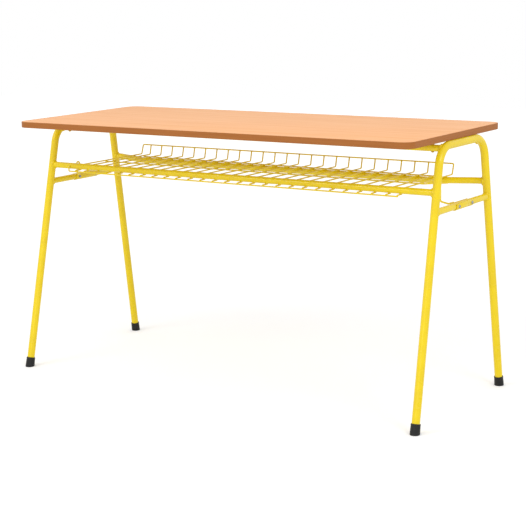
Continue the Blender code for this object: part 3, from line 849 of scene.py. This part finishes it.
@dataclass
class TubeFrame:
    """Two bent side frames, four rails and two crossbars, welded together."""

    leg_sides: int = 40
    leg_steps: int = 20
    rail_sides: int = 32
    rail_bend: float = 0.060
    rail_steps: int = 10
    tube_start: float = 0.0046
    weld_smooth: float = 60.0  # degrees
    bead: WeldBead = WeldBead()

    def build(self) -> None:
        """Make the frame's tubes and the welds between them."""
        cutters = [self.side_tube("cutter", side) for side in Side]
        for side in Side:
            self.side_tube(f"frame_tube_{side.word}", side).done(YELLOW, f"side_frame_{side.word}")
        front = PLAN.leg(Row.FRONT, PLAN.front_rail_height)
        self.rail("lower_front_tube", across(front), cutters, "front_rail")
        self.rail("lower_back_tube", across(*PLAN.back_rail_corners()), cutters, "back_rail")
        for row in Row:
            self.rail(f"upper_{row.value}_tube", across(PLAN.upper_rail(row)), cutters,
                      f"upper_rail_{row.value}")
        for side in Side:
            ends = [side.place(PLAN.leg(row, PLAN.crossbar_height)) for row in Row]
            self.rail(f"cross_tube_{side.word}", ends, cutters, f"crossbar_{side.word}")
            self.welds(side)
        for cutter in cutters:
            cutter.drop()

    def side_tube(self, name: str, side: Side) -> Work:
        """Bend one tube into a front leg, a top run and a back leg.

        Args:
            name: The piece's name.
            side: The desk's end.

        Returns:
            The tube.
        """
        ends = {row: PLAN.foot(row) + PLAN.leg_axis(row) * (self.tube_start / PLAN.leg_axis(row).z)
                for row in Row}
        corners = [ends[Row.FRONT], PLAN.corner(Row.FRONT), PLAN.corner(Row.BACK), ends[Row.BACK]]
        return Work.bar(name, [side.place(corner) for corner in corners], PLAN.leg_radius,
                        PLAN.leg_bend, self.leg_sides, self.leg_steps)

    def rail(self, name: str, corners: list[Vector], cutters: list[Work], node: str) -> None:
        """Make a thinner tube, its ends coped to sit against the legs.

        Args:
            name: The piece's name.
            corners: The corners and ends of its axis.
            cutters: The shapes of both side frames.
            node: The CAD node that it stands for.
        """
        work = Work.bar(name, corners, PLAN.rail_radius, self.rail_bend, self.rail_sides,
                        self.rail_steps)
        for cutter in cutters:
            work.cut(cutter, keep_cutter=True)
        work.done(YELLOW, node)

    def seams(self) -> Iterator[tuple[Vector, Vector, Vector]]:
        """Go through the welds of the right end.

        Returns:
            Each weld's seam, the rail's direction and the leg's.
        """
        inwards = Vector((-1, 0, 0))
        yield PLAN.leg(Row.FRONT, PLAN.front_rail_height), inwards, PLAN.leg_axis(Row.FRONT)
        yield PLAN.leg(Row.BACK, PLAN.back_rail_height), inwards, PLAN.leg_axis(Row.BACK)
        for row in Row:
            place = PLAN.upper_rail(row)
            centre = Vector((place.x, PLAN.bend_start(row), PLAN.run_height - PLAN.leg_bend))
            yield place, inwards, (place - centre).cross(inwards).normalized()
        front, back = [PLAN.leg(row, PLAN.crossbar_height) for row in Row]
        along = (back - front).normalized()
        yield front, along, PLAN.leg_axis(Row.FRONT)
        yield back, -along, PLAN.leg_axis(Row.BACK)

    def welds(self, side: Side) -> None:
        """Lay all weld beads of one end, as one piece.

        Args:
            side: The desk's end.
        """
        beads = [self.bead.build(*[side.place(vector) for vector in seam], PLAN.rail_radius)
                 for seam in self.seams()]
        beads[0].obj.name = f"weld_beads_{side.word}"
        beads[0].join(beads[1:]).done(YELLOW, smooth=self.weld_smooth)


@dataclass
class FootCap:
    """A moulded cap on a leg's end, cut flat where it stands on the floor."""

    height: float = 0.0275
    floor: float = 0.0045
    bore_gap: float = 0.00005
    bore_floor: float = 0.0081
    top_wall: float = 0.0018
    foot_wall: float = 0.0025
    lip: float = 0.0004
    lip_height: float = 0.0030
    edge: float = 0.0011
    edge_steps: int = 3
    sharp: float = 60.0
    sides: int = 48

    def build(self) -> None:
        """Make the four caps."""
        for side, row in product(Side, Row):
            self.cap(side, row)

    def cap(self, side: Side, row: Row) -> None:
        """Draw one cap round its leg's axis, then saw it flat at the floor.

        Args:
            side: The leg's side.
            row: The front leg or the back one.
        """
        bore = PLAN.leg_radius + self.bore_gap
        top = bore + self.top_wall
        foot = bore + self.foot_wall
        crown = self.height / PLAN.leg_axis(row).z
        profile = [
            (foot, -self.height / 2), (foot, self.floor),
            (top, crown - self.lip_height - self.lip), (top + self.lip, crown - self.lip_height),
            (top + self.lip, crown - self.lip), (top, crown), (bore + self.lip, crown),
            (bore, crown - self.lip), (bore, self.bore_floor),
        ]
        work = Work.lathe(f"foot_plug_{side.word}_{row.value}", profile, self.sides)
        work.place(aligned(side.place(PLAN.foot(row)), side.place(PLAN.leg_axis(row))))
        work.edit()
        bpy.ops.mesh.bisect(plane_co=(0, 0, 0), plane_no=(0, 0, 1), use_fill=True, clear_inner=True)
        work.face_out()
        work.soften(self.edge, self.edge_steps, self.sharp).done(
            BLACK, f"foot_cap_{side.word}_{row.value}")


# ---- hooks on the crossbars


@dataclass
class HookSet:
    """A bent strap bolted round each crossbar, and the bag hook of wire that it carries."""

    sheet: float = 0.0015
    sheet_edge: float = 0.00035
    strap_sides: int = 48
    arm_rise: float = 0.008
    bolt_spacing: float = 0.078
    end_margin: float = 0.013
    front_bolt: float = -0.015
    bolt_radius: float = 0.002
    bolt_sides: int = 32
    head_radius: float = 0.0045
    head_height: float = 0.003
    head_rim: float = 0.0002  # height of the rim under the dome
    head_flat: float = 0.97  # the underside's share of the head's radius
    dome_rings: int = 8
    dome_step: float = 12.0  # degrees
    bolt_tail: float = 0.0015
    tail_taper: float = 0.0004
    tail_share: float = 0.8
    nut_width: float = 0.007
    nut_height: float = 0.0032
    nut_gap: float = 0.00005
    chamfer: float = 0.0004
    bore_gap: float = 0.0001
    bore_sides: int = 24
    wire: float = 0.0025
    wire_sides: int = 16
    wire_steps: int = 8
    wire_gap: float = 0.0005
    wire_bend: float = 0.008
    wire_end: float = 0.014  # how far the wire runs on behind the front bolt
    wire_ease: Triple = (0.003, 0.010, 0.0005)  # its first turn: inwards, forwards and down
    hook_foot: Triple = (0.0155, 0.032, -0.008)  # the same way, where it turns up
    hook_rise: float = 0.030
    tip_radius: float = 0.0055
    tip_drop: float = 0.004
    tip_round: float = 0.0009
    tip_steps: int = 3

    def build(self) -> None:
        """Make both ends' straps, bolts, nuts and hooks."""
        for side in Side:
            self.strap(side)
            self.hook(side)
            for row, y in zip(Row, (self.front_bolt, self.front_bolt + self.bolt_spacing)):
                axis = Vector((self.bar_x(), y, PLAN.crossbar_height))
                place = aligned(side.place(axis), Vector((side.value, 0, 0)))
                self.bolt(f"{side.word}_{row.value}", place)
                self.nut(f"{side.word}_{row.value}", place)

    def bar_x(self) -> float:
        """X of the right crossbar."""
        return PLAN.leg(Row.FRONT, PLAN.crossbar_height).x

    def seat(self) -> float:
        """Distance from the crossbar's axis to the strap's outer face."""
        return PLAN.rail_radius + PLAN.seat_gap + self.sheet

    def nut_corner(self) -> float:
        """Distance from a nut's axis to its corners."""
        return self.nut_width / 2 / math.cos(math.pi / 6)

    def strap(self, side: Side) -> None:
        """Draw half a ring down round the bar, raise its arms, draw it out and thicken it.

        Args:
            side: The desk's end.
        """
        work = Work.ring(f"hook_strap_{side.word}", self.seat(), self.strap_sides)
        work.edit()
        bpy.ops.mesh.bisect(plane_co=(0, 0, 0), plane_no=(0, 1, 0), clear_outer=True)
        work.leave()
        for vertex in work.obj.data.vertices:
            vertex.select = abs(vertex.co.y) < MERGE
        work.edit(select=False)
        work.extrude(Vector((0, self.arm_rise, 0)))
        bpy.ops.mesh.select_all(action="SELECT")
        length = self.bolt_spacing + 2 * self.end_margin
        work.extrude(Vector((0, 0, length)))
        work.face_out()
        start = Vector((side.value * self.bar_x(), self.front_bolt - self.end_margin + length,
                        PLAN.crossbar_height))
        work.place(Matrix.Translation(start) @ Matrix.Rotation(math.pi / 2, 4, "X"))
        work.modify("SOLIDIFY", thickness=self.sheet, offset=-1.0)
        work.soften(self.sheet_edge).done(YELLOW, f"hook_clamp_{side.word}")

    def bolt(self, where: str, place: Matrix) -> None:
        """Turn a domed bolt: tail, shank, the head's flat underside, its rim and its crown.

        Args:
            where: Its side and row, as in its node's name.
            place: Its axis, from the crossbar outwards.
        """
        seat, rim, shank = self.seat(), self.head_radius, self.bolt_radius
        turns = [math.radians(self.dome_step * ring) for ring in range(self.dome_rings)]
        crown = self.head_height - self.head_rim
        dome = [(rim * math.cos(a), seat + self.head_rim + crown * math.sin(a)) for a in turns]
        tail = -(seat + self.nut_height + self.bolt_tail)
        profile = [(shank * self.tail_share, tail), (shank, tail + self.tail_taper), (shank, seat),
                   (rim * self.head_flat, seat), *dome]
        work = Work.lathe(f"domed_bolt_{where}", profile, self.bolt_sides)
        work.place(place).done(ZINC, f"clamp_bolt_{where}")

    def nut(self, where: str, place: Matrix) -> None:
        """Make a hexagon nut: chamfered corners, and a bore round the bolt.

        Args:
            where: Its side and row, as in its node's name.
            place: The bolt's placing.
        """
        corner, height, chamfer = self.nut_corner(), self.nut_height, self.chamfer
        flat = corner - chamfer
        profile = [(flat, 0), (corner, chamfer), (corner, height - chamfer), (flat, height)]
        work = Work.lathe(f"hexagon_nut_{where}", profile, 6)
        bore = self.bolt_radius + self.bore_gap
        work.cut(Work.lathe("bore", [(bore, -MM), (bore, height + MM)], self.bore_sides))
        work.place(place @ Matrix.Translation((0, 0, -self.seat() - self.nut_gap - height)))
        work.done(ZINC, f"clamp_nut_{where}")

    def hook(self, side: Side) -> None:
        """Bend the hook's wire: along the strap, in and up, and over at its tip.

        Args:
            side: The desk's end.
        """
        start = Vector((self.bar_x() - self.seat() - PLAN.seat_gap - self.wire, self.front_bolt,
                        PLAN.crossbar_height + self.nut_corner() + self.wire_gap + self.wire))
        foot = start - Vector(self.hook_foot)
        top = foot + UP * (self.hook_rise + self.tip_radius)
        over = top - Vector((2 * self.tip_radius, 0, 0))
        corners = [
            start + Vector((0, self.wire_end, 0)), start, start - Vector(self.wire_ease),
            foot, top, over, over - UP * (self.tip_radius + self.tip_drop),
        ]
        bends = [self.wire_bend] * 3 + [self.tip_radius] * 2
        work = Work.bar(f"bag_wire_{side.word}", [side.place(corner) for corner in corners],
                        self.wire, bends, self.wire_sides, self.wire_steps)
        work.soften(self.tip_round, self.tip_steps).done(YELLOW, f"bag_hook_{side.word}")


# ---- the book basket


@dataclass
class BookBasket:
    """Wires bent at the back, a rim round three sides, and three long wires that hold them."""

    wire: float = 0.002
    wire_end: float = 0.0005
    sink: float = 0.0008
    count: int = 25
    end_clearance: float = 0.1048
    end_pitch: float = 0.0334
    front_reach: float = 0.015
    dip_start: float = 0.009
    dip_run: float = 0.010
    back_reach: float = 0.053
    wall_rise: float = 0.0290
    wall_lean: float = 0.007
    bend: float = 0.0045
    rear_reach: float = 0.023
    middle_reach: float = 0.125
    middle_tail: Pair = (0.050, 0.045)
    front_tail: Pair = (0.028, 0.013)
    nugget: float = 0.0019
    nugget_shape: Triple = (1.25, 1.25, 0.8)
    nugget_sides: int = 8
    nugget_rings: int = 6
    nugget_smooth: float = 70.0  # degrees
    sides: int = 12
    steps: int = 6

    def build(self) -> None:
        """Make the basket's wires and the weld nuggets where they cross."""
        first, *rest = self.inner_places()
        wire = self.bar("basket_wires", self.section(first))
        copies = [wire.copy(Matrix.Translation((x - first, 0, 0))) for x in rest]
        rear = self.bar("rear_wire", self.rear())
        wire.join([*copies, rear]).done(YELLOW, "basket_floor")
        self.bar("basket_rim", across(*self.section(self.half_width(), self.step()))).done(
            YELLOW, "basket_back", "basket_end_wire_left", "basket_end_wire_right")
        self.bar("basket_middle_bar", self.middle()).done(YELLOW, "basket_middle_wire")
        self.bar("basket_front_bar", self.front()).done(YELLOW, "basket_front_wire")
        self.nuggets()

    def bar(self, name: str, corners: list[Vector]) -> Work:
        """A bent wire with slightly rounded ends."""
        work = Work.bar(name, corners, self.wire, self.bend, self.sides, self.steps)
        return work.soften(self.wire_end)

    def levels(self) -> tuple[float, float, float, float]:
        """Find where the wires lie on the rails.

        Returns:
            The front rail's Y, the front edge's height, the back rail's Y, the floor's height.
        """
        seat = PLAN.rail_radius + PLAN.seat_gap + self.wire
        front, back = PLAN.front_rail_height, PLAN.back_rail_height
        return (PLAN.leg(Row.FRONT, front).y, front - seat,
                PLAN.leg(Row.BACK, back).y - PLAN.jog_depth, back + seat)

    def half_width(self) -> float:
        """X of the right end wire."""
        return PLAN.leg(Row.FRONT, PLAN.front_rail_height).x - self.end_clearance

    def step(self) -> float:
        """Distance between the axes of two welded wires."""
        return 2 * self.wire - self.sink

    def inner_places(self) -> list[float]:
        """X of each wire between the end wires."""
        inner = self.half_width() - self.end_pitch
        return [-inner + 2 * inner * index / (self.count - 1) for index in range(self.count)]

    def section(self, x: float, shift: float = 0.0) -> list[Vector]:
        """Lead one wire from the front edge over the back rail and up the back.

        Args:
            x: The wire's X.
            shift: How much further back its upper end lies.

        Returns:
            The corners and ends of its axis.
        """
        front_y, front_z, middle_y, floor_z = self.levels()
        foot_y = middle_y + self.back_reach
        return [Vector((x, y, z)) for y, z in (
            (front_y - self.front_reach - self.wire, front_z),
            (front_y + self.dip_start, front_z),
            (front_y + self.dip_start + self.dip_run, floor_z),
            (foot_y, floor_z),
            (foot_y + self.wall_lean + shift, floor_z + self.wall_rise),
        )]

    def rear(self) -> list[Vector]:
        """Lead the straight wire behind the back rail.

        Returns:
            Its ends, from the left.
        """
        _front_y, _front_z, middle_y, floor_z = self.levels()
        x = self.half_width() - self.end_pitch + self.wire
        return across(Vector((x, middle_y + self.rear_reach, floor_z - self.step())))

    def middle(self) -> list[Vector]:
        """Lead the long wire under the middle, whose right end bends to the back.

        Returns:
            Its ends and its corner, from the left.
        """
        _front_y, _front_z, middle_y, floor_z = self.levels()
        bend = Vector((self.half_width() + self.wire, middle_y - self.middle_reach,
                       floor_z - self.step()))
        return [Side.LEFT.place(bend), bend, bend + Vector((*self.middle_tail, 0))]

    def front(self) -> list[Vector]:
        """Lead the long wire along the front edge, whose left end turns up to the rail.

        Returns:
            Its ends and its corner, from the left.
        """
        front_y, front_z, _middle_y, _floor_z = self.levels()
        half = self.half_width()
        end = Vector((half + self.wire, front_y - self.front_reach, front_z - self.step()))
        tail_x, tail_rise = self.front_tail
        face = front_y - PLAN.rail_radius - PLAN.seat_gap - self.wire
        tail = Vector((-half - tail_x, face, front_z + tail_rise))
        return [tail, Vector((tail.x, end.y, end.z)), end]

    def crossings(self) -> Iterator[Vector]:
        """Go through the welds of the net's wires to the long wires and the rails.

        Returns:
            Each weld's point.
        """
        front_y, front_z, middle_y, floor_z = self.levels()
        low = self.step() / 2
        half = self.half_width()
        for x in (-half, *self.inner_places(), half):
            yield Vector((x, front_y - self.front_reach, front_z - low))
            yield Vector((x, middle_y - self.middle_reach, floor_z - low))
            yield Vector((x, front_y, front_z + self.wire))
            yield Vector((x, PLAN.back_rail_y(x), floor_z - self.wire))
        foot_y = middle_y + self.back_reach
        for x in self.inner_places():
            yield Vector((x, middle_y + self.rear_reach, floor_z - low))
            yield Vector((x, foot_y + self.wall_lean + low, floor_z + self.wall_rise))

    def nuggets(self) -> None:
        """Small flattened beads of weld, one shape copied to every crossing."""
        clear_selection()
        bpy.ops.mesh.primitive_uv_sphere_add(
            segments=self.nugget_sides, ring_count=self.nugget_rings, radius=self.nugget)
        work = Work.taken("basket_welds")
        work.edit()
        bpy.ops.transform.resize(value=self.nugget_shape, center_override=(0, 0, 0))
        work.leave()
        places = list(self.crossings())
        copies = [work.copy(Matrix.Translation(place)) for place in places[1:]]
        work.place(Matrix.Translation(places[0])).join(copies)
        work.done(YELLOW, smooth=self.nugget_smooth)


@dataclass
class Fasteners:
    """The screws and sleeves under the top, whose CAD shapes stay and get the golden zinc."""

    def build(self) -> None:
        """Dress every CAD node that no piece stands for."""
        for name, obj in frame["nodes"].items():
            if not obj.hide_render:
                obj.data.materials.clear()
                obj.data.materials.append(GOLDEN.material())
                LOG.info("%s: CAD node dressed as %s", name, GOLDEN.name)


# ---- the studio


@dataclass(frozen=True)
class Lamp:
    """A large soft disk of light that faces the desk's middle."""

    name: str
    place: Triple
    size: float
    watts: float
    target: Triple = (0.0, 0.0, 0.45)

    def build(self) -> None:
        """Hang the lamp in its place."""
        bpy.ops.object.light_add(type="AREA")
        lamp = bpy.context.active_object
        lamp.name = self.name
        lamp.data.shape = "DISK"
        lamp.data.size = self.size
        lamp.data.energy = self.watts
        aim = (Vector(self.target) - Vector(self.place)).to_track_quat("-Z", "Y")
        lamp.matrix_world = Matrix.Translation(self.place) @ aim.to_matrix().to_4x4()


@dataclass
class Studio:
    """White floor and surroundings, soft lights, and the camera at the photograph's angle."""

    picture_px: float = 526.0
    focal_px: float = 1426.18
    sensor_mm: float = 36.0
    far_clip: float = 60.0
    yaw: float = -33.5272  # degrees, clockwise from +Y
    pitch: float = 11.3868  # degrees, downwards
    roll: float = -1.0334
    eye: Triple = (2.27051, -3.38182, 1.15847)
    ambient: float = 0.83
    floor_size: float = 16.0
    floor_drop: float = 0.0002
    floor_colour: str = "#F4F4F4"
    near_lift: float = 0.21  # bring the lit floor to white, for the camera only
    far_lift: float = 0.38
    lift_reach: Pair = (0.8, 5.0)  # from the desk's middle, where the lift grows
    lamps: tuple[Lamp, ...] = (
        Lamp("key_light", (-1.9, -3.3, 3.4), 2.2, 44.0),
        Lamp("right_light", (3.5, -1.6, 2.8), 1.6, 36.0),
        Lamp("low_light", (0.8, -4.4, 0.9), 1.6, 7.0),
    )

    def build(self) -> None:
        """Set up the view, the surroundings, the floor and the lights."""
        bpy.context.scene.view_settings.view_transform = "Standard"
        self.camera()
        self.world()
        self.floor()
        for lamp in self.lamps:
            lamp.build()

    def camera(self) -> None:
        """Place the camera that the desk's own edges in the photograph lead to."""
        bpy.ops.object.camera_add()
        camera = bpy.context.active_object
        yaw, pitch, roll = [math.radians(angle) for angle in (self.yaw, self.pitch, self.roll)]
        turn = (Matrix.Rotation(-yaw, 4, "Z") @ Matrix.Rotation(math.pi / 2 - pitch, 4, "X")
                @ Matrix.Rotation(roll, 4, "Z"))
        camera.matrix_world = Matrix.Translation(self.eye) @ turn
        camera.data.sensor_width = self.sensor_mm
        camera.data.lens = self.focal_px * self.sensor_mm / self.picture_px
        camera.data.clip_end = self.far_clip
        bpy.context.scene.camera = camera

    def seen(self, tree: Tree) -> Socket:
        """Tell the rays that show the surroundings to the eye, directly or in a reflection.

        Args:
            tree: The node tree that asks.

        Returns:
            One for those rays, and nothing for others.
        """
        path = add(tree, "ShaderNodeLightPath").outputs
        found = path["Is Camera Ray"]
        for kind in ("Is Glossy Ray", "Is Transmission Ray"):
            found = add(tree, "ShaderNodeMath", {0: found, 1: path[kind]},
                        operation="MAXIMUM").outputs[0]
        return found

    def world(self) -> None:
        """Even surroundings: white to the eye, a softer white as light."""
        world = bpy.data.worlds.new("studio")
        bpy.context.scene.world = world
        world.use_nodes = True
        tree = world.node_tree
        background = tree.nodes["Background"]
        background.inputs["Color"].default_value = (1, 1, 1, 1)
        inputs = {"Value": self.seen(tree), "To Min": self.ambient, "To Max": 1.0}
        strength = add(tree, "ShaderNodeMapRange", inputs).outputs[0]
        tree.links.new(strength, background.inputs["Strength"])

    def floor(self) -> None:
        """A wide pale floor, which keeps the desk's faint shadows."""
        clear_selection()
        bpy.ops.mesh.primitive_plane_add(size=self.floor_size, location=(0, 0, -self.floor_drop))
        floor = bpy.context.active_object
        floor.name = "studio_floor"
        paint = bpy.data.materials.new("pale_floor")
        paint.use_nodes = True
        tree = paint.node_tree
        tree.nodes.clear()
        matt = add(tree, "ShaderNodeBsdfDiffuse", {"Color": linear(self.floor_colour)}).outputs[0]
        ray = add(tree, "ShaderNodeLightPath").outputs["Is Camera Ray"]
        place = add(tree, "ShaderNodeTexCoord").outputs["Object"]
        away = add(tree, "ShaderNodeVectorMath", {0: place}, operation="LENGTH").outputs["Value"]
        near, far = self.lift_reach
        inputs = {"Value": away, "From Min": near, "From Max": far,
                  "To Min": self.near_lift, "To Max": self.far_lift}
        grown = add(tree, "ShaderNodeMapRange", inputs).outputs[0]
        lift = add(tree, "ShaderNodeMath", {0: ray, 1: grown}, operation="MULTIPLY").outputs[0]
        glow = add(tree, "ShaderNodeEmission", {"Color": (1, 1, 1, 1), "Strength": lift}).outputs[0]
        both = add(tree, "ShaderNodeAddShader", {0: matt, 1: glow}).outputs[0]
        add(tree, "ShaderNodeOutputMaterial", {"Surface": both})
        floor.data.materials.append(paint)


def main() -> None:
    """Build the studio and the desk."""
    logging.basicConfig(level=logging.INFO, format="%(name)s: %(message)s")
    for part in (Studio, Tabletop, TubeFrame, FootCap, HookSet, BookBasket, Fasteners):
        LOG.info("building %s", part.__name__)
        part().build()
    clear_selection()


if __name__ == "__main__":
    main()
